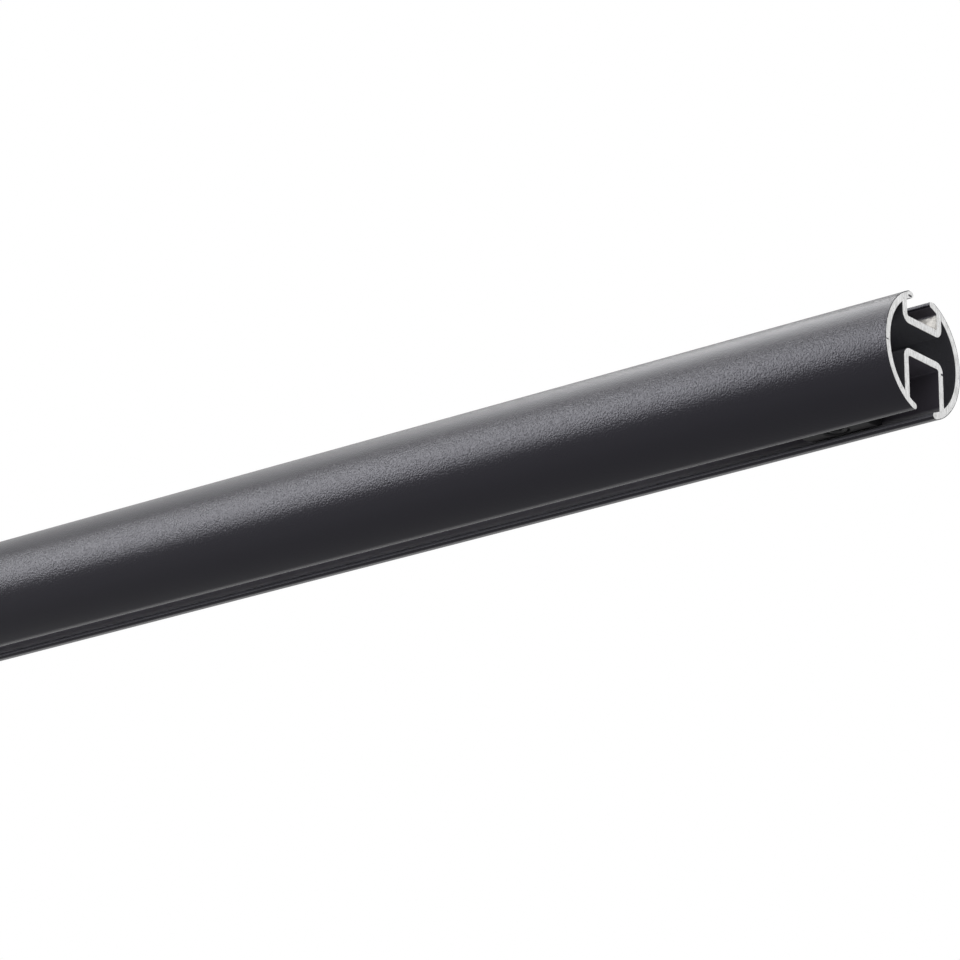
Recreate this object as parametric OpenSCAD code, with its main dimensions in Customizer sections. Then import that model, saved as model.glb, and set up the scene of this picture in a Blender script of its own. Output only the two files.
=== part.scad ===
// Round curtain rod with two tracks in one extrusion. The curtain gliders run in the lower
// channel, and brackets grip the upper one. Millimetres, X along the rod, Z up.
// The origin is the middle of the upper slot's mouth, on top of the rod.

/* [Rail] */
// Length of the extrusion, from saw cut to saw cut
rail_length = 1000; // [600:50:2000]
// Outer diameter of the rod
rod_d = 20; // [19:0.5:22]
// Thickness of the round outer wall
wall = 1.2; // [1:0.1:1.5]
// Thickness of the walls and floors of both channels
web_t = 1.2; // [1:0.1:1.5]
// Inner width of both channels
channel_w = 8; // [7.4:0.1:8.6]
// Width of the slot between the lips of each channel
slot_w = 4.4; // [4.2:0.1:5]
// Depth of the upper channel, from the top of the rod to its floor
upper_depth = 4.8; // [4.2:0.1:5.4]
// Depth of the lower channel, from the bottom of the rod to its roof
lower_depth = 8.8; // [8.4:0.1:9.2]
// Radius inside the corners of the channels
channel_fillet = 0.4; // [0.2:0.1:0.8]

/* [Gliders] */
// Number of gliders, about one for each 100 mm of rod
glider_count = 10; // [4:1:12]
// Length of a glider's runner along the rod
runner_length = 13; // [10:0.5:14]
// Height of the runner above the bottom of the channel
runner_height = 3.4; // [3:0.1:4.4]
// Radius of the runner's corners, seen from above
runner_corner = 2.4; // [1:0.2:3]
// Radius of the runner's upper edges
runner_round = 0.8; // [0.4:0.1:1.2]
// Length of the neck that stands in the slot
neck_length = 8; // [6:0.5:9]
// Length of the keeper plate below the rod
keeper_length = 10; // [9:0.5:12]
// Width of the keeper plate
keeper_w = 6.6; // [6:0.2:8]
// Thickness of the keeper plate
keeper_t = 1.1; // [0.8:0.1:1.6]
// Distance from one parked glider to the next
park_pitch = 15; // [14.5:0.5:20]
// Free length between the left stop and the first parked glider
park_gap = 22; // [20.5:0.5:40]

/* [Swivel eyes] */
// Diameter of the swivel pin
pin_d = 2.4; // [2:0.1:2.6]
// Diameter of the pin's snap head
pin_head_d = 3.8; // [3.4:0.1:4]
// Height of the snap head
pin_head_h = 1; // [0.6:0.1:1.2]
// Width of the split that lets the snap head close
pin_split_w = 0.5; // [0.4:0.1:0.7]
// Length of the split below the head's top
pin_split_l = 3; // [2:0.1:4]
// Diameter of the collar under the glider
collar_d = 5.4; // [5:0.1:6]
// Height of the collar
collar_h = 1; // [0.8:0.1:1.4]
// Hole that a curtain hook passes through
eye_hole_d = 4; // [3:0.1:4.6]
// Width of the eye's rim round the hole
eye_rim = 1.8; // [1.4:0.1:2.4]
// Thickness of the eye
eye_t = 2.2; // [1.6:0.1:3]
// Radius of the eye's edges
eye_round = 0.5; // [0.3:0.1:0.7]
// How far the eye's rim runs up into the collar
eye_sink = 0.5; // [0.3:0.1:0.8]

/* [End stops] */
// Length of a stop's block along the rod
stop_length = 12; // [10:0.5:16]
// Height of the block above the bottom of the channel
stop_height = 5; // [4:0.1:5.6]
// Radius of the block's corners and upper edges
stop_round = 0.6; // [0.3:0.1:1]
// Distance from the rod's end to the middle of its stop
stop_inset = 16; // [15:0.5:40]
// Diameter of the clamping screw
screw_d = 4; // [3:0.1:4.1]
// Length of the clamping screw
screw_length = 7; // [6:0.1:7.2]
// Width across the flats of the screw's hexagon socket
socket_af = 2; // [1.5:0.1:2.4]
// Depth of the socket
socket_depth = 2.4; // [1.5:0.1:3]
// Chamfer on both ends of the screw
screw_chamfer = 0.4; // [0.2:0.1:0.6]

/* [Clearances] */
// Gap between a channel wall and what slides in the channel
side_gap = 0.3; // [0.2:0.05:0.5]
// Gap between the lips and what rests on them
lip_gap = 0.2; // [0.1:0.05:0.4]
// Gap on each side between the slot and what stands in it
slot_gap = 0.4; // [0.2:0.05:0.5]
// Gap between the rod and the keeper plate
keeper_gap = 0.5; // [0.3:0.1:1]
// Radial gap round the swivel pin
pin_gap = 0.08; // [0.05:0.01:0.1]
// Radial gap round the pin's snap head
head_gap = 0.3; // [0.2:0.05:0.4]
// Gap above and below the swivel's seats
seat_gap = 0.15; // [0.1:0.05:0.3]
// Radial gap round the clamping screw
screw_gap = 0.05; // [0.02:0.01:0.1]
// Gap between the clamping screw's tip and the channel roof
tip_gap = 0.1; // [0.05:0.05:0.3]

/* [Hidden] */
$fn = 64;
eps = 0.01;
cut = 1;                            // how far a cut runs past the face it opens
hex_sides = 6;
first_two_digit = 10;

rod_r = rod_d / 2;
bore_r = rod_r - wall;              // inside of the round wall and of the lips
mid_wall_r = rod_r - wall / 2;
floor_z = rod_r - upper_depth;      // heights here are above the rod's axis
roof_z = lower_depth - rod_r;
tip_relief = 0.03;                  // the lips' round tips are this much thinner on each side
tip_r = wall / 2 - tip_relief;
tip_angle = asin((slot_w / 2 + tip_r) / mid_wall_r);

runner_w = channel_w - 2 * side_gap;
runner_r = bore_r - lip_gap;        // underside of all that slides on the lips
runner_top = runner_height - runner_r;
neck_w = slot_w - 2 * slot_gap;
keeper_top = -(rod_r + keeper_gap);
keeper_bottom = keeper_top - keeper_t;

bore_d = pin_d + 2 * pin_gap;
pocket_d = pin_head_d + 2 * head_gap;
head_pocket_floor = runner_top - pin_head_h - 2 * seat_gap;
pin_head_bottom = head_pocket_floor + seat_gap;
pin_head_top = pin_head_bottom + pin_head_h;
pin_head_tip_d = (pin_d + pin_head_d) / 2;
collar_top = keeper_bottom - seat_gap;
collar_bottom = collar_top - collar_h;
eye_r = eye_hole_d / 2 + eye_rim;
eye_z = collar_bottom + eye_sink - eye_r;

stop_top = stop_height - runner_r;
stop_x = rail_length / 2 - stop_inset;
screw_top = roof_z - tip_gap;
screw_bottom = screw_top - screw_length;
tapped_d = screw_d + 2 * screw_gap;

first_glider_x = stop_length / 2 - stop_x + park_gap + runner_length / 2;

black_coat = [0.11, 0.11, 0.12];
black_nylon = [0.15, 0.15, 0.16];
dark_steel = [0.30, 0.30, 0.32];
black_zinc = [0.19, 0.19, 0.21];

function numbered(name, k) = str(name, k < first_two_digit ? "0" : "", k);
function glider_x(k) = first_glider_x + (k - 1) * park_pitch;

// Turns a shape drawn on the rod's axis to the part's frame
module on_axis(x = 0) {
    translate([x, 0, -rod_r]) children();
}

// A prism along the rod, from a section drawn with Y to the right and Z up
module along_rod(length) {
    rotate([90, 0, 90]) linear_extrude(height = length, center = true) children();
}

// A prism across the rod, from an outline drawn with X to the right and Z up
module across_rod(width) {
    rotate([90, 0, 0]) linear_extrude(height = width, center = true) children();
}

// Rectangle with round upper corners, from the bottom of the rod up to a height
module arch(width, top, corner) {
    translate([-width / 2, -rod_r]) square([width, rod_r + top - corner]);
    translate([corner - width / 2, -rod_r]) square([width - 2 * corner, rod_r + top]);
    for (side = [-1, 1])
        translate([side * (width / 2 - corner), top - corner]) circle(r = corner);
}

// A flat plate with round corners, seen from above
module rounded_plate(length, width, corner, z_low, z_high) {
    translate([0, 0, z_low]) linear_extrude(height = z_high - z_low) {
        square([length - 2 * corner, width], center = true);
        square([length, width - 2 * corner], center = true);
        for (x = [-1, 1], y = [-1, 1])
            translate([x * (length / 2 - corner), y * (width / 2 - corner)])
                circle(r = corner);
    }
}

// A plate whose two ends are half rounds
module oval_plate(length, width, z_low, z_high) {
    translate([0, 0, z_low]) linear_extrude(height = z_high - z_low) {
        square([length - width, width], center = true);
        for (x = [-1, 1])
            translate([x * (length - width) / 2, 0]) circle(d = width);
    }
}

// Rectangle with four round corners and its lowest corner at the origin
module rounded_rect(width, height, corner) {
    translate([corner, 0]) square([width - 2 * corner, height]);
    translate([0, corner]) square([width, height - 2 * corner]);
    for (x = [corner, width - corner], y = [corner, height - corner])
        translate([x, y]) circle(r = corner);
}

// A tapered or straight round bar that stands upright
module upright(z_low, z_high, d_low, d_high) {
    translate([0, 0, z_low]) cylinder(h = z_high - z_low, d1 = d_low, d2 = d_high);
}

// Rectangle with two round lower corners, open to the tube wall at its top
module channel_blank(half_w, bottom, corner) {
    translate([-half_w, bottom + corner]) square([2 * half_w, rod_r]);
    translate([corner - half_w, bottom]) square([2 * (half_w - corner), rod_r]);
    for (side = [-1, 1])
        translate([side * (half_w - corner), bottom + corner]) circle(r = corner);
}

// Walls and floor of one channel, drawn with the slot upwards; base is the floor's height
module channel_walls(base) {
    intersection() {
        circle(r = mid_wall_r);
        difference() {
            channel_blank(channel_w / 2 + web_t, base - web_t, channel_fillet + web_t);
            channel_blank(channel_w / 2, base, channel_fillet);
        }
    }
}

// Opening that the slot leaves in the round wall, before its ends are rounded
module slot_wedge() {
    reach = 2 * rod_r;
    polygon([
        [0, 0],
        [-reach * sin(tip_angle), reach * cos(tip_angle)],
        [reach * sin(tip_angle), reach * cos(tip_angle)]
    ]);
}

module lip_tips() {
    for (side = [-1, 1])
        rotate(side * tip_angle) translate([0, mid_wall_r]) circle(r = tip_r);
}

module slotted_tube() {
    difference() {
        circle(r = rod_r);
        circle(r = bore_r);
        slot_wedge();
        rotate(180) slot_wedge();
    }
    lip_tips();
    rotate(180) lip_tips();
}

module rail() {
    color(black_coat) on_axis() along_rod(rail_length) {
        slotted_tube();
        channel_walls(floor_z);
        rotate(180) channel_walls(-roof_z);
    }
}

// What slides in the lower channel: a block with round upper edges, whose underside follows
// the lips
module slider(length, top, corner, edge) {
    intersection() {
        rounded_plate(length, runner_w, corner, -rod_r, top + cut);
        along_rod(2 * length) arch(runner_w, top, edge);
        across_rod(2 * runner_w) arch(length, top, edge);
        rotate([0, 90, 0]) cylinder(h = 2 * length, r = runner_r, center = true);
    }
}

module glider(k) {
    color(black_nylon) on_axis(glider_x(k)) difference() {
        union() {
            slider(runner_length, runner_top, runner_corner, runner_round);
            oval_plate(neck_length, neck_w, keeper_top - eps, runner_top - eps);
            oval_plate(keeper_length, keeper_w, keeper_bottom, keeper_top);
        }
        upright(keeper_bottom - cut, runner_top + cut, bore_d, bore_d);
        upright(head_pocket_floor, runner_top + cut, pocket_d, pocket_d);
    }
}

module swivel_eye(k) {
    color(black_nylon) on_axis(glider_x(k)) {
        difference() {
            union() {
                upright(pin_head_bottom, pin_head_top, pin_head_d, pin_head_tip_d);
                upright(collar_top - eps, pin_head_top - eps, pin_d, pin_d);
            }
            translate([-pin_head_d, -pin_split_w / 2, pin_head_top - pin_split_l])
                cube([2 * pin_head_d, pin_split_w, pin_split_l + cut]);
        }
        upright(collar_bottom, collar_top, collar_d, collar_d);
        translate([0, 0, eye_z]) rotate([90, 0, 0]) rotate_extrude()
            translate([eye_hole_d / 2, -eye_t / 2]) rounded_rect(eye_rim, eye_t, eye_round);
    }
}

module end_stop(side) {
    color(black_zinc) on_axis(side * stop_x) difference() {
        slider(stop_length, stop_top, stop_round, stop_round);
        upright(-rod_r, stop_top + cut, tapped_d, tapped_d);
    }
}

module stop_screw(side) {
    tip_d = screw_d - 2 * screw_chamfer;
    color(dark_steel) on_axis(side * stop_x) difference() {
        union() {
            upright(screw_bottom, screw_bottom + screw_chamfer, tip_d, screw_d);
            upright(screw_bottom + screw_chamfer, screw_top - screw_chamfer, screw_d, screw_d);
            upright(screw_top - screw_chamfer, screw_top, screw_d, tip_d);
        }
        translate([0, 0, screw_bottom - cut])
            cylinder(h = socket_depth + cut, d = socket_af / cos(180 / hex_sides), $fn = hex_sides);
    }
}

rail();
for (k = [1 : glider_count]) {
    glider(k);
    swivel_eye(k);
}
end_stop(-1);  // end_stop_left
end_stop(1);  // end_stop_right
stop_screw(-1);  // stop_screw_left
stop_screw(1);  // stop_screw_right
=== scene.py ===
import math

import bpy
from mathutils import Matrix, Vector


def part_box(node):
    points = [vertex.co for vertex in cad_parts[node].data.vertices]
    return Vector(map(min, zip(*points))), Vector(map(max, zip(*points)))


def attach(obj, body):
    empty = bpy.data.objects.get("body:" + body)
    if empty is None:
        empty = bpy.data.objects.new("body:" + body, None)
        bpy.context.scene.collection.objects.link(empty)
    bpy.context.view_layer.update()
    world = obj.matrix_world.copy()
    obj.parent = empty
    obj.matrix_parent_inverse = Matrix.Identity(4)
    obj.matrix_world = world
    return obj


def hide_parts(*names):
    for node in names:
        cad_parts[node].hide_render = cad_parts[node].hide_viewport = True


# A round curtain rod with an inner track, seen from below its right end. Metres, X along the rod,
# Z up. The origin is on top of the rod at mid-length, so the rod's axis lies one radius lower.

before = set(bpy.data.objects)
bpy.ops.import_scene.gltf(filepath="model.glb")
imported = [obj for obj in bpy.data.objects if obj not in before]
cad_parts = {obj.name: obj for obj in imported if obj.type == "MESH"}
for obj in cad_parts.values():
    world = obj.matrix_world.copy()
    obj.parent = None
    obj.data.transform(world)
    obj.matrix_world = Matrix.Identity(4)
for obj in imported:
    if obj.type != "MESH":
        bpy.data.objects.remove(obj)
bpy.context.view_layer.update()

MM = 0.001

# The rod's section; heights are above the rod's axis
ROD_R = 10 * MM
WALL = 1.2 * MM
WEB = 1.2 * MM
CHANNEL_HALF = 4 * MM
SLOT_HALF = 2.2 * MM
FLAT_HALF = 3.4 * MM
FLOOR_Z = 5.2 * MM
ROOF_Z = -1.2 * MM
FILLET = 0.4 * MM
SAW_CHAMFER = 0.03 * MM
COAT = 0.12 * MM

# What slides in the lower channel, over the lips. A long barrel gives it its curved underside
UNDERSIDE_R = 8.6 * MM
RUNNER_CORNER = 2.4 * MM
RUNNER_ROUND = 0.8 * MM
NECK = Vector((8, 3.6)) * MM
KEEPER = Vector((10, 6.6, 1.1)) * MM
PIN_BORE_R = 1.28 * MM
POCKET_R = 2.2 * MM
POCKET_DEPTH = 1.3 * MM
STOP_ROUND = 0.6 * MM
STOP_INSET = 16 * MM
TAPPED_R = 2.05 * MM
COUNTERSINK = 0.3 * MM
MOULD_ROUND = 0.12 * MM
KEEPER_ROUND = 0.25 * MM
BARREL_LENGTH = 40 * MM

# Swivel eye
PIN_R = 1.2 * MM
HEAD_R = 1.9 * MM
HEAD_TIP_R = 1.55 * MM
HEAD_H = 1 * MM
COLLAR_R = 2.7 * MM
COLLAR_H = 1 * MM
COLLAR_ROUND = 0.25 * MM
SPLIT_W = 0.5 * MM
SPLIT_L = 3 * MM
EYE_HOLE_R = 2 * MM
EYE_RIM = 1.8 * MM
EYE_T = 2.2 * MM
EYE_ROUND = 0.5 * MM
EYE_SINK = 0.5 * MM

# Clamping screw
THREAD_PITCH = 0.7 * MM
THREAD_DEPTH = 0.38 * MM
THREAD_STEPS = 32
SCREW_CHAMFER = 0.4 * MM
SOCKET_AF = 2 * MM
SOCKET_DEPTH = 2.4 * MM

BORE_R = ROD_R - WALL
AXIS = Vector((0, 0, -ROD_R))
rail_low, rail_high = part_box("rail")

# How far a cut runs past the face that it opens, and how close two points are when they are one
CUT = 1 * MM
MERGE = 0.001 * MM

# A drawn arc gets as many steps as keep its flats this close to it
FLATNESS = 0.002 * MM

# Sides of round shapes, and steps across each kind of rounding
BARREL_SIDES = 180
HOLE_SIDES = 64
UPRIGHT_STEPS = 10
TOP_STEPS = 5
CAST_STEPS = 6
SOFT_STEPS = 4
EDGE_STEPS = 3

# A sharp edge turns more than this
SHARP = math.radians(40)


def deselect_all():
    bpy.ops.object.select_all(action="DESELECT")


def pick(obj):
    deselect_all()
    bpy.context.view_layer.objects.active = obj
    obj.select_set(True)


def edit(obj, kind="VERT"):
    """Opens a mesh for editing by its points, edges or faces. What is selected stays so."""
    pick(obj)
    kinds = ("VERT", "EDGE", "FACE")
    bpy.context.scene.tool_settings.mesh_select_mode = [kind == each for each in kinds]
    bpy.ops.object.mode_set(mode="EDIT")


def leave_edit():
    bpy.ops.object.mode_set(mode="OBJECT")


def apply_modifiers(obj):
    pick(obj)
    for modifier in list(obj.modifiers):
        bpy.ops.object.modifier_apply(modifier=modifier.name)


def apply_transform(obj):
    pick(obj)
    bpy.ops.object.transform_apply(location=True, rotation=True, scale=True)


def smooth(obj, degrees=30):
    """Smooth shading that leaves the large faces flat and turns over the roundings."""
    pick(obj)
    bpy.ops.object.shade_smooth_by_angle(angle=math.radians(degrees))
    weighted = obj.modifiers.new("weighted normals", "WEIGHTED_NORMAL")
    weighted.keep_sharp = True
    apply_modifiers(obj)


def close_up(obj):
    """Merges doubled points and turns all faces outwards."""
    edit(obj)
    bpy.ops.mesh.select_all(action="SELECT")
    bpy.ops.mesh.remove_doubles(threshold=MERGE)
    bpy.ops.mesh.normals_make_consistent(inside=False)
    leave_edit()


def bevel_edges(obj, width, steps, wanted):
    """Rounds the edges whose two ends pass a test."""
    edit(obj, "EDGE")
    bpy.ops.mesh.select_all(action="DESELECT")
    leave_edit()
    points = obj.data.vertices
    for edge in obj.data.edges:
        a, b = (points[k].co for k in edge.vertices)
        edge.select = wanted(a, b)
    edit(obj, "EDGE")
    bpy.ops.mesh.bevel(offset=width, segments=steps, affect="EDGES")
    leave_edit()
    close_up(obj)


def bevel_sharp(obj, width):
    """Rounds every sharp edge."""
    edit(obj, "EDGE")
    bpy.ops.mesh.select_all(action="DESELECT")
    bpy.ops.mesh.edges_select_sharp(sharpness=SHARP)
    bpy.ops.mesh.bevel(offset=width, segments=EDGE_STEPS, affect="EDGES")
    leave_edit()
    close_up(obj)


def combine(obj, other, operation):
    """Adds or cuts away another shape, or keeps what both share; the other one is used up."""
    modifier = obj.modifiers.new(operation, "BOOLEAN")
    modifier.operation = operation
    modifier.solver = "EXACT"
    modifier.object = other
    apply_modifiers(obj)
    bpy.data.objects.remove(other)
    close_up(obj)


def empty_piece(name):
    deselect_all()
    bpy.ops.object.add(type="MESH")
    piece = bpy.context.object
    piece.name = piece.data.name = name
    return piece


def block(length, width, z_low, z_high):
    """A plain block on the rod's axis, from one height to another."""
    bpy.ops.mesh.primitive_cube_add(
        size=1,
        location=(0, 0, (z_low + z_high) / 2),
        scale=(length, width, z_high - z_low),
    )
    made = bpy.context.object
    apply_transform(made)
    return made


def round_uprights(obj, radius):
    bevel_edges(obj, radius, UPRIGHT_STEPS, lambda a, b: abs(a.z - b.z) > MERGE)


def round_top(obj, height, radius):
    bevel_edges(obj, radius, TOP_STEPS, lambda a, b: min(a.z, b.z) > height - MERGE)


def polar(radius, degrees):
    """A point of the section, from its distance and its angle above +Y."""
    turn = math.radians(degrees)
    return Vector((radius * math.cos(turn), radius * math.sin(turn)))


def arc_steps(radius, degrees):
    """How many steps an arc needs to look round."""
    step = 2 * math.acos(1 - FLATNESS / radius)
    return max(3, math.ceil(math.radians(abs(degrees)) / step))


class Pen:
    """Draws a line in the mesh that is open for editing, with Y to the right and Z up."""

    def __init__(self, start):
        self.at = Vector(start)
        bpy.ops.mesh.select_all(action="DESELECT")
        bpy.ops.mesh.primitive_plane_add(size=MM, location=(0, *self.at))
        bpy.ops.mesh.merge(type="CENTER")

    def line_to(self, *points):
        for point in points:
            step = Vector(point) - self.at
            bpy.ops.mesh.extrude_region_move(TRANSFORM_OT_translate={"value": (0, *step)})
            self.at += step

    def turn(self, centre, degrees):
        """An arc round centre, anticlockwise for a positive angle."""
        centre = Vector(centre)
        arm = self.at - centre
        bpy.ops.mesh.spin(
            steps=arc_steps(arm.length, degrees),
            angle=-math.radians(degrees),
            center=(0, *centre),
            axis=(1, 0, 0),
        )
        self.at = centre + Matrix.Rotation(math.radians(degrees), 2) @ arm


def revolve(obj, centre, axis, steps):
    """Turns all that is drawn once round an axis into a closed shape."""
    edit(obj)
    bpy.ops.mesh.select_all(action="SELECT")
    bpy.ops.mesh.remove_doubles(threshold=MERGE)
    bpy.ops.mesh.select_all(action="SELECT")
    bpy.ops.mesh.spin(steps=steps, angle=math.tau, center=centre, axis=axis)
    leave_edit()
    close_up(obj)


def soft_corner(before, corner, after, radius):
    """Points of the arc that rounds a corner between two straight lines."""
    before, corner, after = Vector(before), Vector(corner), Vector(after)
    into = (corner - before).normalized()
    out = (after - corner).normalized()
    half = into.angle(out) / 2
    back = radius * math.tan(half)
    centre = corner + (out - into).normalized() * (radius / math.cos(half))
    start = corner - into * back - centre
    swing = into.angle_signed(out)
    return [
        centre + Matrix.Rotation(-swing * k / SOFT_STEPS, 2) @ start for k in range(SOFT_STEPS + 1)
    ]


def turned(name, *profile, steps=HOLE_SIDES):
    """A shape turned round an upright axis.

    Its points give a distance, a height and, where the corner is rounded, a radius.
    """
    points = []
    for k, (distance, height, *radius) in enumerate(profile):
        if radius:
            points += soft_corner(
                profile[k - 1][:2], (distance, height), profile[k + 1][:2], radius[0]
            )
        else:
            points.append((distance, height))
    made = empty_piece(name)
    edit(made)
    Pen(points[0]).line_to(*points[1:])
    leave_edit()
    revolve(made, (0, 0, 0), (0, 0, 1), steps)
    return made


def draw_half_section():
    """The right half of the section: the outline with both channels, and then the hollow.

    Beside the slots the rod is flat, and the lips end in a round that touches both the flat and
    the bore.
    """
    flat = math.degrees(math.acos(FLAT_HALF / ROD_R))
    flat_z = math.sqrt(ROD_R**2 - FLAT_HALF**2)
    reach = BORE_R + flat_z - SLOT_HALF
    gap = (SLOT_HALF**2 + flat_z**2 - BORE_R**2) / 2
    tip_r = reach - math.sqrt(reach**2 - 2 * gap)
    upper_tip = (SLOT_HALF + tip_r, flat_z - tip_r)
    lower_tip = (SLOT_HALF + tip_r, tip_r - flat_z)
    tip = math.degrees(math.atan2(upper_tip[1], upper_tip[0]))
    inner = math.degrees(math.acos(CHANNEL_HALF / BORE_R))
    outer = math.degrees(math.acos((CHANNEL_HALF + WEB) / BORE_R))
    corner_y = CHANNEL_HALF - FILLET
    upper_corner = (corner_y, FLOOR_Z + FILLET)
    lower_corner = (corner_y, ROOF_Z - FILLET)
    centre = (0, 0)

    pen = Pen((0, FLOOR_Z))
    pen.line_to((corner_y, FLOOR_Z))
    pen.turn(upper_corner, 90)
    pen.line_to(polar(BORE_R, inner))
    pen.turn(centre, tip - inner)
    pen.turn(upper_tip, -90 - tip)
    pen.line_to((FLAT_HALF, flat_z))
    pen.turn(centre, -2 * flat)
    pen.line_to((upper_tip[0], -flat_z))
    pen.turn(lower_tip, -90 - tip)
    pen.turn(centre, tip - inner)
    pen.line_to((CHANNEL_HALF, ROOF_Z - FILLET))
    pen.turn(lower_corner, 90)
    pen.line_to((0, ROOF_Z))

    pen = Pen((0, FLOOR_Z - WEB))
    pen.line_to((corner_y, FLOOR_Z - WEB))
    pen.turn(upper_corner, 90)
    pen.line_to(polar(BORE_R, outer))
    pen.turn(centre, -2 * outer)
    pen.line_to((CHANNEL_HALF + WEB, ROOF_Z - FILLET))
    pen.turn(lower_corner, 90)
    pen.line_to((0, ROOF_Z + WEB))


def make_rail():
    """The section, drawn out to the rod's length, with a fine chamfer round both saw cuts."""
    rail = empty_piece("rail_extrusion")
    edit(rail)
    draw_half_section()
    leave_edit()
    mirror = rail.modifiers.new("other half", "MIRROR")
    mirror.use_axis = (False, True, False)
    mirror.merge_threshold = MERGE
    apply_modifiers(rail)

    edit(rail)
    bpy.ops.mesh.select_all(action="SELECT")
    bpy.ops.mesh.remove_doubles(threshold=MERGE)
    bpy.ops.mesh.fill(use_beauty=True)
    bpy.ops.transform.translate(value=(rail_low.x + SAW_CHAMFER, 0, 0))
    length = rail_high.x - rail_low.x - 2 * SAW_CHAMFER
    bpy.ops.mesh.extrude_region_move(TRANSFORM_OT_translate={"value": (length, 0, 0)})
    bpy.ops.mesh.select_all(action="SELECT")
    bpy.ops.mesh.normals_make_consistent(inside=False)
    bpy.ops.mesh.select_all(action="DESELECT")
    leave_edit()
    for face in rail.data.polygons:
        face.select = abs(face.normal.x) > 0.9
    edit(rail, "FACE")
    bpy.ops.mesh.inset(thickness=SAW_CHAMFER, depth=SAW_CHAMFER)
    leave_edit()
    return rail


def above_axis(node):
    """Length and width of a node, and the heights of its bottom and top above the rod's axis."""
    low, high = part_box(node)
    return high.x - low.x, high.y - low.y, low.z + ROD_R, high.z + ROD_R


def fit_to_lips(obj):
    """Gives a block that slides on the lips an underside that follows them."""
    bpy.ops.mesh.primitive_cylinder_add(
        vertices=BARREL_SIDES,
        radius=UNDERSIDE_R,
        depth=BARREL_LENGTH,
        rotation=(0, math.pi / 2, 0),
    )
    barrel = bpy.context.object
    apply_transform(barrel)
    combine(obj, barrel, "INTERSECT")
    bevel_sharp(obj, MOULD_ROUND)


def make_glider():
    """Runner, neck and keeper in one moulding, with a bore and a pocket for the swivel pin."""
    length, width, bottom, top = above_axis("glider_01")
    keeper_top = bottom + KEEPER.z
    pocket_floor = top - POCKET_DEPTH
    glider = block(length, width, -ROD_R, top)
    round_uprights(glider, RUNNER_CORNER)
    round_top(glider, top, RUNNER_ROUND)
    fit_to_lips(glider)

    neck = block(*NECK, keeper_top - KEEPER_ROUND, pocket_floor)
    round_uprights(neck, NECK.y / 2)
    combine(glider, neck, "UNION")

    keeper = block(*KEEPER.xy, bottom, keeper_top)
    round_uprights(keeper, KEEPER.y / 2)
    bevel_sharp(keeper, KEEPER_ROUND)
    combine(glider, keeper, "UNION")

    beyond = MOULD_ROUND + CUT
    bore = turned(
        "bore",
        (0, bottom - CUT),
        (PIN_BORE_R + beyond, bottom - CUT),
        (PIN_BORE_R, bottom + MOULD_ROUND),
        (PIN_BORE_R, pocket_floor),
        (POCKET_R, pocket_floor),
        (POCKET_R, top - MOULD_ROUND),
        (POCKET_R + beyond, top + CUT),
        (0, top + CUT),
    )
    combine(glider, bore, "DIFFERENCE")
    smooth(glider)
    return glider


def make_eye():
    """A split snap pin with a collar, and under it the eye for the curtain hook."""
    _, _, bottom, top = above_axis("swivel_eye_01")
    eye_r = EYE_HOLE_R + EYE_RIM
    centre_z = bottom + eye_r
    collar_bottom = centre_z + eye_r - EYE_SINK
    collar_top = collar_bottom + COLLAR_H
    head_bottom = top - HEAD_H
    eye = turned(
        "eye",
        (0, top),
        (HEAD_TIP_R, top, MOULD_ROUND),
        (HEAD_R, head_bottom, MOULD_ROUND / 2),
        (PIN_R, head_bottom),
        (PIN_R, collar_top),
        (COLLAR_R, collar_top, COLLAR_ROUND),
        (COLLAR_R, collar_bottom, COLLAR_ROUND),
        (0, collar_bottom),
    )

    ring = empty_piece("ring")
    edit(ring)
    inner, outer = centre_z + EYE_HOLE_R, centre_z + eye_r
    side = EYE_T / 2
    pen = Pen((EYE_ROUND - side, inner))
    pen.line_to((side - EYE_ROUND, inner))
    pen.turn((side - EYE_ROUND, inner + EYE_ROUND), 90)
    pen.line_to((side, outer - EYE_ROUND))
    pen.turn((side - EYE_ROUND, outer - EYE_ROUND), 90)
    pen.line_to((EYE_ROUND - side, outer))
    pen.turn((EYE_ROUND - side, outer - EYE_ROUND), 90)
    pen.line_to((-side, inner + EYE_ROUND))
    pen.turn((EYE_ROUND - side, inner + EYE_ROUND), 90)
    leave_edit()
    revolve(ring, (0, 0, centre_z), (0, 1, 0), HOLE_SIDES)
    combine(eye, ring, "UNION")

    split = block(4 * HEAD_R, SPLIT_W, top - SPLIT_L, top + CUT)
    combine(eye, split, "DIFFERENCE")
    smooth(eye)
    return eye


def make_stop():
    """A die-cast block with a tapped hole."""
    length, width, bottom, top = above_axis("end_stop_right")
    stop = block(length, width, -ROD_R, top)
    bevel_edges(stop, STOP_ROUND, CAST_STEPS, lambda a, b: max(a.z, b.z) > top - MERGE)
    fit_to_lips(stop)
    beyond_r = TAPPED_R + COUNTERSINK + CUT
    tapped = turned(
        "tapped",
        (0, bottom - CUT),
        (beyond_r, bottom - CUT),
        (TAPPED_R, bottom + COUNTERSINK),
        (TAPPED_R, top - COUNTERSINK),
        (beyond_r, top + CUT),
        (0, top + CUT),
    )
    combine(stop, tapped, "DIFFERENCE")
    smooth(stop)
    return stop


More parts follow.
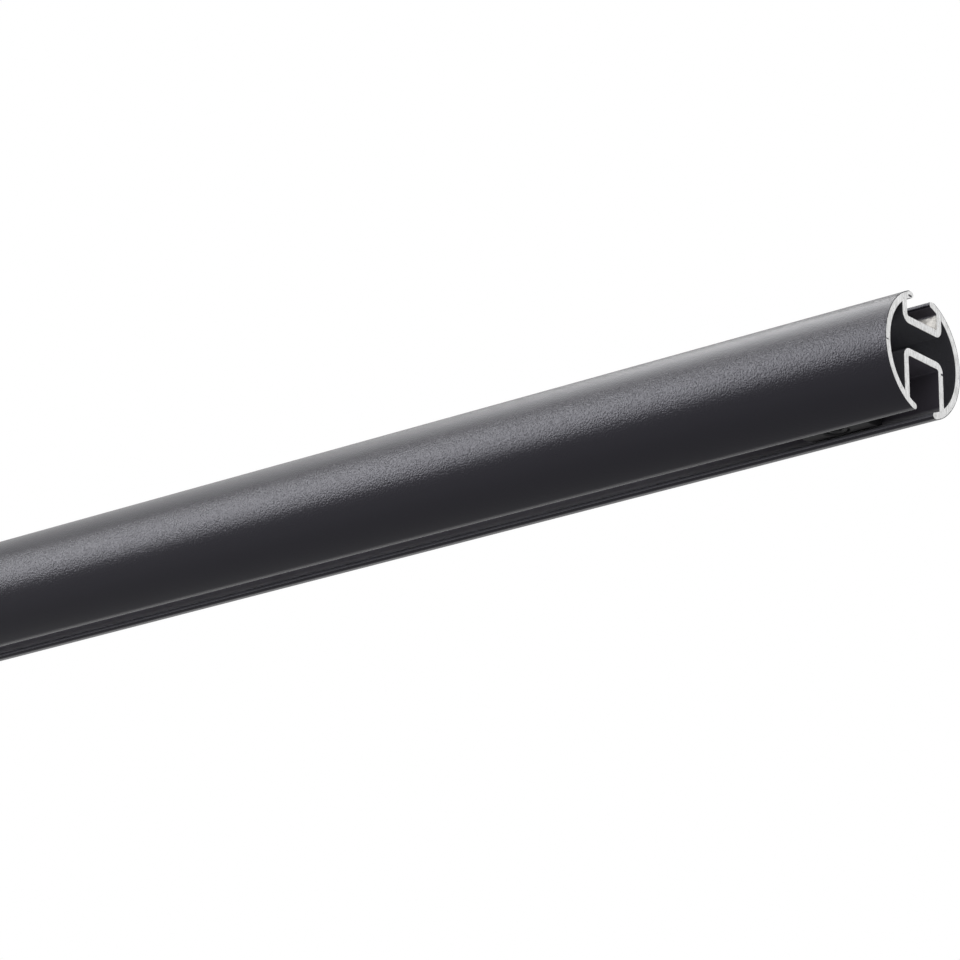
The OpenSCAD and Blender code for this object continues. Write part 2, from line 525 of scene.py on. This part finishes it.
def make_screw():
    """A grub screw with a cut thread, chamfered ends and a hexagon socket below."""
    _, width, bottom, top = above_axis("stop_screw_right")
    crest = width / 2
    root = crest - THREAD_DEPTH
    root_flat, crest_flat = THREAD_PITCH / 4, THREAD_PITCH / 8
    flank = (THREAD_PITCH - root_flat - crest_flat) / 2
    turns = math.ceil((top - bottom) / THREAD_PITCH) + 3
    z = bottom - 2 * THREAD_PITCH

    screw = empty_piece("screw")
    edit(screw)
    Pen((root, z)).line_to(
        (root, z + root_flat),
        (crest, z + root_flat + flank),
        (crest, z + root_flat + flank + crest_flat),
        (root, z + THREAD_PITCH),
    )
    leave_edit()
    helix = screw.modifiers.new("helix", "SCREW")
    helix.axis = "Z"
    helix.screw_offset = THREAD_PITCH
    helix.iterations = turns
    helix.steps = helix.render_steps = THREAD_STEPS
    apply_modifiers(screw)
    close_up(screw)

    body = turned(
        "body",
        (0, bottom),
        (crest - SCREW_CHAMFER, bottom),
        (crest, bottom + SCREW_CHAMFER),
        (crest, top - SCREW_CHAMFER),
        (crest - SCREW_CHAMFER, top),
        (0, top),
    )
    edit(screw)
    for height, upwards in ((bottom - THREAD_PITCH / 2, False), (top + THREAD_PITCH / 2, True)):
        bpy.ops.mesh.select_all(action="SELECT")
        bpy.ops.mesh.bisect(
            plane_co=(0, 0, height),
            plane_no=(0, 0, 1),
            threshold=MERGE,
            use_fill=True,
            clear_inner=not upwards,
            clear_outer=upwards,
        )
    leave_edit()
    close_up(screw)
    combine(screw, body, "INTERSECT")

    corner_r = SOCKET_AF / 2 / math.cos(math.pi / 6)
    bpy.ops.mesh.primitive_cylinder_add(
        vertices=6,
        radius=corner_r,
        depth=SOCKET_DEPTH + CUT,
        location=(0, 0, bottom + (SOCKET_DEPTH - CUT) / 2),
    )
    socket = bpy.context.object
    apply_transform(socket)
    combine(screw, socket, "DIFFERENCE")
    beyond = COUNTERSINK / 2 + CUT
    mouth = turned(
        "mouth",
        (0, bottom - CUT),
        (corner_r + beyond, bottom - CUT),
        (corner_r - CUT, bottom + CUT + COUNTERSINK / 2),
        (0, bottom + CUT + COUNTERSINK / 2),
    )
    combine(screw, mouth, "DIFFERENCE")
    smooth(screw, 20)
    return screw


def place_copies(template, pairs):
    """Puts a copy of a piece in the place of each node, and makes it ride on that node's body."""
    for node, body in pairs:
        low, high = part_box(node)
        piece = template.copy()
        piece.data = template.data.copy()
        piece.name = piece.data.name = node + "_finished"
        bpy.context.scene.collection.objects.link(piece)
        piece.data.transform(Matrix.Translation(AXIS + Vector(((low.x + high.x) / 2, 0, 0))))
        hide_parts(node)
        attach(piece, body)
    bpy.data.objects.remove(template)


class Wire:
    """A number or colour that varies over a surface, with the signs of ordinary maths."""

    def __init__(self, nodes, socket):
        self.nodes = nodes
        self.socket = socket

    def maths(self, operation, *values):
        return self.nodes.node("ShaderNodeMath", {"operation": operation}, dict(enumerate(values)))

    def __add__(self, other):
        return self.maths("ADD", self, other)

    def __sub__(self, other):
        return self.maths("SUBTRACT", self, other)

    def __rsub__(self, other):
        return self.maths("SUBTRACT", other, self)

    def __mul__(self, other):
        return self.maths("MULTIPLY", self, other)

    def __gt__(self, other):
        return self.maths("GREATER_THAN", self, other)

    def __lt__(self, other):
        return self.maths("LESS_THAN", self, other)

    def __abs__(self):
        return self.maths("ABSOLUTE", self)

    def root(self):
        return self.maths("SQRT", self)

    def either(self, other):
        return self.maths("MAXIMUM", self, other)

    __radd__ = __add__
    __rmul__ = __mul__


class Nodes:
    """The nodes of a material or of the world. Each of them is made by node()."""

    def __init__(self, owner):
        owner.use_nodes = True
        self.owner = owner
        self.tree = owner.node_tree
        self.tree.nodes.clear()

    def node(self, kind, settings=None, inputs=None, output=0):
        """Makes a node from its type, settings and inputs. Returns one output, if it has any."""
        made = self.tree.nodes.new(kind)
        for key, value in (settings or {}).items():
            setattr(made, key, value)
        for key, value in (inputs or {}).items():
            if isinstance(value, Wire):
                self.tree.links.new(value.socket, made.inputs[key])
            else:
                made.inputs[key].default_value = value
        return Wire(self, made.outputs[output]) if made.outputs else None

    def outputs(self, names, kind, inputs=None):
        """Several outputs of one node."""
        found = self.node(kind, inputs=inputs).socket.node.outputs
        return [Wire(self, found[name]) for name in names]

    def seen(self):
        """1 for what the camera sees, straight, in a reflection or through something clear."""
        kinds = ("Is Camera Ray", "Is Glossy Ray", "Is Transmission Ray")
        camera, glossy, transmission = self.outputs(kinds, "ShaderNodeLightPath")
        return camera.either(glossy).either(transmission)

    def done(self, shader, kind="ShaderNodeOutputMaterial"):
        self.node(kind, inputs={"Surface": shader})
        return self.owner


class Finish(Nodes):
    """A material in the making."""

    def __init__(self, name):
        super().__init__(bpy.data.materials.new(name))
        self.spot = self.node("ShaderNodeTexCoord", output="Object")

    def axes(self):
        """X, Y and Z of the spot, in metres."""
        return self.outputs(("X", "Y", "Z"), "ShaderNodeSeparateXYZ", {0: self.spot})

    def noise(self, grain, detail=2.0, stretch=(1, 1, 1)):
        """Soft blotches about as large as grain, drawn out along an axis by stretch."""
        scale = [1 / (grain * each) for each in stretch]
        spot = self.node("ShaderNodeMapping", inputs={"Vector": self.spot, "Scale": scale})
        return self.node(
            "ShaderNodeTexNoise", inputs={"Vector": spot, "Scale": 1.0, "Detail": detail}
        )

    def step(self, value, low, high):
        """A soft step from 0 at low to 1 at high."""
        return self.node(
            "ShaderNodeMapRange",
            {"interpolation_type": "SMOOTHSTEP"},
            {"Value": value, "From Min": low, "From Max": high},
        )

    def mix(self, mask, without, within):
        """A colour that is the first where mask is 0 and the second where it is 1."""
        sides = {0: mask, 6: without, 7: within}
        return self.node("ShaderNodeMix", {"data_type": "RGBA"}, sides, output=2)

    def between(self, mask, without, within):
        """A number that runs from the first to the second as mask runs from 0 to 1."""
        return self.node("ShaderNodeMix", inputs={0: mask, 2: without, 3: within})

    def near(self, y, height, place, reach):
        """1 inside a small oval on the rod's section, which is given in millimetres."""
        across = (y - place[0] * MM) * (1 / (reach[0] * MM))
        upright = (height - place[1] * MM) * (1 / (reach[1] * MM))
        return across * across + upright * upright < 1.0

    def bump(self, height, depth):
        return self.node(
            "ShaderNodeBump", inputs={"Height": height, "Distance": depth}, output="Normal"
        )

    def surface(self, inputs):
        return self.node("ShaderNodeBsdfPrincipled", inputs=inputs)


def grey(value, tint=0.0):
    """A grey with a touch of blue."""
    return (value, value, value * (1 + tint), 1)


# Tones of the rod. Where there are two, the surface varies between them
COAT_TONES = ((0.0060, 0.0050, 0.0082, 1), (0.0070, 0.0060, 0.0094, 1))
# Inner tones are painted light, far paler than the coat outside; the second of each pair is
# painted deeper in, against the shade there
LINING_PAINTED_LIGHT_TONES = ((0.070, 0.064, 0.078, 1), (0.24, 0.23, 0.26, 1))
RUBBED_AND_PAINTED_LIGHT_TONES = (grey(0.32, 0.05), grey(0.60, 0.05))
HOLLOW_PAINTED_LIGHT_TONES = (grey(0.09, 0.12), grey(0.24, 0.12))
TIP_PAINTED_LIGHT_TONE = grey(0.15, 0.12)
CUT_TONES = ((0.60, 0.60, 0.585, 1), (0.88, 0.88, 0.87, 1))
CUT_SPECK = (0.36, 0.36, 0.33, 1)
MILL_TONES = ((0.13, 0.126, 0.12, 1), (0.36, 0.35, 0.335, 1))

# Nicks in the photographed saw cut. Each has its place on the section, and how far it reaches
# from there, across and up, in millimetres
NICKS = (
    ((5.1, -1.7), (0.45, 0.20)),
    ((-3.1, 8.6), (0.50, 0.18)),
    ((-9.6, -0.2), (0.40, 0.10)),
)

# Where the finish changes, by height above the rod's axis
BARE_UP_TO = (7.7 * MM, 8.1 * MM)
TIPS_BELOW = -8.1 * MM
GRAIN_GROWS = (-5 * MM, 0)
CROWN = (1.5 * MM, 6 * MM)

# Where the lips start to be rubbed by the gliders and painted paler as painted light against the
# shade low in the channel, by depth below the axis
RUBBED_AND_PAINTED_LIGHT_DOWN_FROM = (7.0 * MM, 7.9 * MM)

# How far from a saw cut the painted light on the inner coat grows to its full strength
LINING_PAINTED_LIGHT_DEPTH = (8 * MM, 60 * MM)
HOLLOW_PAINTED_LIGHT_DEPTH = (0, 6 * MM)


def black_coat_finish():
    """Fine-grained black coat that leaves the saw cuts and the upper channel's low walls bare."""
    made = Finish("black_coat")
    x, y, z = made.axes()
    height = z + ROD_R
    from_axis = (y * y + height * height).root()
    inwards = rail_high.x - abs(x)
    grain = made.noise(0.26 * MM, detail=1.5)
    patches = made.noise(6 * MM)
    clouds = made.noise(1.6 * MM, detail=3.0)
    fine = made.noise(0.09 * MM)
    streaks = made.noise(0.20 * MM, detail=3.0, stretch=(1, 1, 9))
    specks = made.noise(0.35 * MM)
    ragged = made.noise(1.2 * MM) * (0.7 * MM)

    # The saw cut shows the metal, with the thin dark edge of the coat round it and a few nicks
    dark = from_axis + (clouds + fine) * COAT > ROD_R
    for place, reach in NICKS:
        dark = dark.either(made.near(y, height, place, reach) * (x > 0.0))
    sawn = (inwards < (fine - 0.2) * (2 * SAW_CHAMFER)) * (1 - dark)

    # Inside the channels and the hollow, and on the round tips of the lower lips. There the coat
    # is painted far paler than outside: painted light against the shade inside
    beside_middle = abs(y) < CHANNEL_HALF + FILLET / 2
    upper = beside_middle * (height > FLOOR_Z - FILLET / 2)
    lower = beside_middle * (height < ROOF_Z + FILLET / 2)
    bare = upper * (1 - made.step(height + ragged, *BARE_UP_TO))
    # Low in the lower channel the gliders rub the lips, and the pale tone there, paler deeper in,
    # is painted light against the shade in its corners
    rubbed = lower * made.step(height * -1, *RUBBED_AND_PAINTED_LIGHT_DOWN_FROM)
    tips = (height < TIPS_BELOW) * (abs(y) < SLOT_HALF + 0.4 * MM)
    tips = tips * (from_axis < BORE_R + 0.55 * MM)
    within = tips.either(from_axis < BORE_R + 0.05 * MM)

    # Away from the saw cuts the inner coat is painted paler still: painted light against the
    # deeper shade
    deeper_painted_light = made.step(inwards, *LINING_PAINTED_LIGHT_DEPTH)
    lining = made.mix(rubbed, made.mix(deeper_painted_light, *LINING_PAINTED_LIGHT_TONES), made.mix(deeper_painted_light, *RUBBED_AND_PAINTED_LIGHT_TONES))
    # Painted light in the hollow, paler deeper in against the shade there
    hollow = made.mix(made.step(inwards, *HOLLOW_PAINTED_LIGHT_DEPTH), *HOLLOW_PAINTED_LIGHT_TONES)
    inner_coat_painted_light = made.mix(upper.either(lower), hollow, lining)
    # Painted light on the round tips of the lower lips, paler than the coat against the shade in
    # the slot
    inner_coat_painted_light = made.mix(tips, inner_coat_painted_light, TIP_PAINTED_LIGHT_TONE)
    cut = made.mix(made.step(streaks, 0.35, 0.65), *CUT_TONES)
    cut = made.mix(made.step(specks, 0.55, 0.75) * 0.5, cut, CUT_SPECK)
    # Painted light: the inner surfaces take the pale inner tones in place of the black coat
    colour = made.mix(within, made.mix(patches, *COAT_TONES), inner_coat_painted_light)
    colour = made.mix(bare, colour, made.mix(made.step(clouds, 0.3, 0.7), *MILL_TONES))
    colour = made.mix(sawn, colour, cut)

    # The coat's grain is coarsest half-way up its sides
    crown = made.step(height, *CROWN)
    coarse = made.between(made.step(height, *GRAIN_GROWS) - crown, 0.2, 1.0)
    rough = made.between(crown, 0.25, 0.33) + (grain - 0.5) * (coarse * 0.3)
    rough = made.between(within, rough, 0.5)
    rough = made.between(sawn, rough, 0.40 + (streaks - 0.5) * 0.2)
    relief = grain * (coarse * 0.75 + 0.25)
    relief = made.between(within, relief, grain * 0.3)
    relief = made.between(sawn, relief, streaks * 0.15)
    return made.done(
        made.surface(
            {
                "Base Color": colour,
                "Roughness": rough,
                "Metallic": bare.either(sawn),
                "Normal": made.bump(relief, 0.09 * MM),
                "IOR": 1.37,
                "Specular Tint": (0.90, 0.90, 1.0, 1),
            }
        )
    )


def nylon_finish(name, shade, rubbed_below):
    """Moulded nylon, finely pitted, and shinier where it rubs, from a height downwards."""
    made = Finish(name)
    _, _, z = made.axes()
    pits = made.noise(0.12 * MM, detail=3.0)
    cloud = made.noise(2.5 * MM)
    rubbed = made.step(rubbed_below - (z + ROD_R), 0, 0.4 * MM)
    colour = made.mix(cloud, grey(shade * 0.8, 0.05), grey(shade * 1.2, 0.05))
    rough = 0.52 + (pits - 0.5) * 0.2 - rubbed * 0.14
    return made.done(
        made.surface(
            {
                "Base Color": colour,
                "Roughness": rough,
                "Normal": made.bump(pits, 0.008 * MM),
                "IOR": 1.5,
            }
        )
    )


ZINC_TONES = ((0.009, 0.009, 0.010, 1), (0.018, 0.018, 0.020, 1))
ZINC_RUBBED = (0.16, 0.16, 0.17, 1)


def zinc_finish():
    """Die-cast zinc with a black passivation, rubbed paler along its outer edges."""
    made = Finish("black_zinc")
    x, y, z = made.axes()
    length, width, bottom, top = above_axis("end_stop_right")
    middle = rail_high.x - STOP_INSET
    ends = made.step(abs(abs(x) - middle), length / 2 - STOP_ROUND, length / 2)
    sides = made.step(abs(y), width / 2 - STOP_ROUND, width / 2)
    caps = made.step(z + ROD_R, top - STOP_ROUND, top)
    grain = made.noise(0.18 * MM, detail=4.0)
    cloud = made.noise(1.5 * MM, detail=3.0)
    edges = (ends * sides).either(ends * caps).either(sides * caps)
    rubbed = edges * made.step(cloud, 0.4, 0.6)
    colour = made.mix(rubbed * 0.7, made.mix(cloud, *ZINC_TONES), ZINC_RUBBED)
    return made.done(
        made.surface(
            {
                "Base Color": colour,
                "Roughness": 0.65 + (grain - 0.5) * 0.3,
                "Metallic": rubbed,
                "Specular IOR Level": 0.25,
                "Normal": made.bump(grain, 0.012 * MM),
            }
        )
    )


STEEL_TONES = ((0.014, 0.014, 0.015, 1), (0.026, 0.026, 0.028, 1))
STEEL_WORN = (0.38, 0.37, 0.36, 1)


def screw_finish():
    """Black oxide steel, worn bright on the crests of the thread."""
    made = Finish("black_oxide_steel")
    x, y, _ = made.axes()
    low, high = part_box("stop_screw_right")
    along = abs(x) - (low.x + high.x) / 2
    crest = (high.y - low.y) / 2
    worn = made.step(along * along + y * y, (crest - 0.1 * MM) ** 2, (crest + 0.02 * MM) ** 2)
    marks = made.noise(0.08 * MM, detail=3.0)
    colour = made.mix(worn * 0.6, made.mix(marks, *STEEL_TONES), STEEL_WORN)
    return made.done(
        made.surface(
            {
                "Base Color": colour,
                "Roughness": 0.55 + (marks - 0.5) * 0.3,
                "Metallic": worn,
                "Specular IOR Level": 0.3,
                "Normal": made.bump(marks, 0.003 * MM),
            }
        )
    )


rail = make_rail()
smooth(rail)
rail.data.transform(Matrix.Translation(AXIS))
rail.data.materials.append(black_coat_finish())
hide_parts("rail")
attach(rail, "rail")

gliders = sorted(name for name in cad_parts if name.startswith("glider_"))
glider = make_glider()
glider_nylon = nylon_finish("glider_nylon", shade=0.026, rubbed_below=-6.8 * MM)
glider.data.materials.append(glider_nylon)
place_copies(glider, [(name, name) for name in gliders])

eye = make_eye()
eye_nylon = nylon_finish("eye_nylon", shade=0.030, rubbed_below=-18.0 * MM)
eye.data.materials.append(eye_nylon)
numbers = [name.removeprefix("glider_") for name in gliders]
place_copies(eye, [("swivel_eye_" + k, "eye_" + k) for k in numbers])

ENDS = ("left", "right")
stop = make_stop()
stop.data.materials.append(zinc_finish())
place_copies(stop, [("end_stop_" + end, "stop_" + end) for end in ENDS])

screw = make_screw()
screw.data.materials.append(screw_finish())
place_copies(screw, [("stop_screw_" + end, "screw_" + end) for end in ENDS])

# Camera, from the photograph: its place from the middle of the rod's right end, how far it is
# turned to the left and upwards, and its lens and film in millimetres
CAMERA_FROM_END = Vector((374.2, -575.5, -261.4)) * MM
CAMERA_AZIMUTH = 38.59
CAMERA_ELEVATION = 19.47
CAMERA_LENS = 182.87
CAMERA_FILM = 36
CAMERA_CLIP = 0.05


def make_camera():
    data = bpy.data.cameras.new("camera")
    data.lens = CAMERA_LENS
    data.sensor_width = CAMERA_FILM
    data.clip_start = CAMERA_CLIP
    camera = bpy.data.objects.new("camera", data)
    bpy.context.scene.collection.objects.link(camera)
    camera.location = Vector((rail_high.x, 0, 0)) + AXIS + CAMERA_FROM_END
    camera.rotation_euler = (
        math.radians(90 + CAMERA_ELEVATION),
        0,
        math.radians(CAMERA_AZIMUTH),
    )
    bpy.context.scene.camera = camera


make_camera()

# Lamps stand this far from the middle of the photographed stretch of the rod, and face it
LAMP_DISTANCE = 4.0
LIT_PLACE = Vector((rail_high.x - 0.1, 0, -ROD_R))


def lamp(name, azimuth, elevation, wide, high, radiance):
    """A soft oblong lamp. Azimuth 0 is in front of the rod, and 90 is off its right end."""
    data = bpy.data.lights.new(name, "AREA")
    data.shape = "RECTANGLE"
    data.size = wide
    data.size_y = high
    data.energy = 4 * radiance * wide * high
    turn, rise = math.radians(azimuth), math.radians(elevation)
    aim = Vector(
        (math.sin(turn) * math.cos(rise), -math.cos(turn) * math.cos(rise), math.sin(rise))
    )
    light = bpy.data.objects.new(name, data)
    bpy.context.scene.collection.objects.link(light)
    light.location = LIT_PLACE + aim * LAMP_DISTANCE
    light.rotation_euler = aim.to_track_quat("Z", "Y").to_euler()
    light.visible_camera = False


lamp("key", azimuth=-43.2, elevation=25.4, wide=2.08, high=2.71, radiance=6.9)
lamp("top", azimuth=-87, elevation=59, wide=3.92, high=0.5, radiance=5.0)

# The floor, and how far from a spot in front of the rod's right end it turns white
FLOOR_HEIGHT = -1.25
FLOOR_SIZE = 120
SWEEP_CENTRE = Vector((1.1, -1.6, FLOOR_HEIGHT))
SWEEP_START = 2.2
SWEEP_END = 5.0


def floor_finish():
    """Pale floor that turns as white as the background with distance, and is clear from below."""
    made = Finish("pale_floor")
    away = made.node(
        "ShaderNodeVectorMath",
        {"operation": "DISTANCE"},
        {0: made.spot, 1: SWEEP_CENTRE},
        output="Value",
    )
    far = made.step(away, SWEEP_START, SWEEP_END)
    mottle = made.noise(0.4, detail=4.0)
    near_floor = made.surface(
        {
            "Base Color": made.mix(mottle, grey(0.53), grey(0.57)),
            "Roughness": 0.9,
            "Specular IOR Level": 0.0,
        }
    )
    white = made.node("ShaderNodeEmission", inputs={"Strength": 1.0})
    clear = made.node("ShaderNodeBsdfTransparent")
    lit = made.node("ShaderNodeMixShader", inputs={0: far * made.seen(), 1: near_floor, 2: white})
    below = made.node("ShaderNodeNewGeometry", output="Backfacing")
    return made.done(made.node("ShaderNodeMixShader", inputs={0: below, 1: lit, 2: clear}))


def make_floor():
    deselect_all()
    bpy.ops.mesh.primitive_plane_add(size=FLOOR_SIZE, location=(0, 0, FLOOR_HEIGHT))
    floor = bpy.context.object
    apply_transform(floor)
    floor.name = "floor"
    floor.data.materials.append(floor_finish())


make_floor()


def make_world():
    """A white world, half as strong where it only lights the scene and isn't seen."""
    made = Nodes(bpy.data.worlds.new("studio"))
    strength = made.node(
        "ShaderNodeMapRange", inputs={"Value": made.seen(), "To Min": 0.5, "To Max": 1.0}
    )
    light = made.node("ShaderNodeBackground", inputs={"Color": (1, 1, 1, 1), "Strength": strength})
    bpy.context.scene.world = made.done(light, "ShaderNodeOutputWorld")


make_world()
bpy.context.scene.view_settings.view_transform = "Standard"
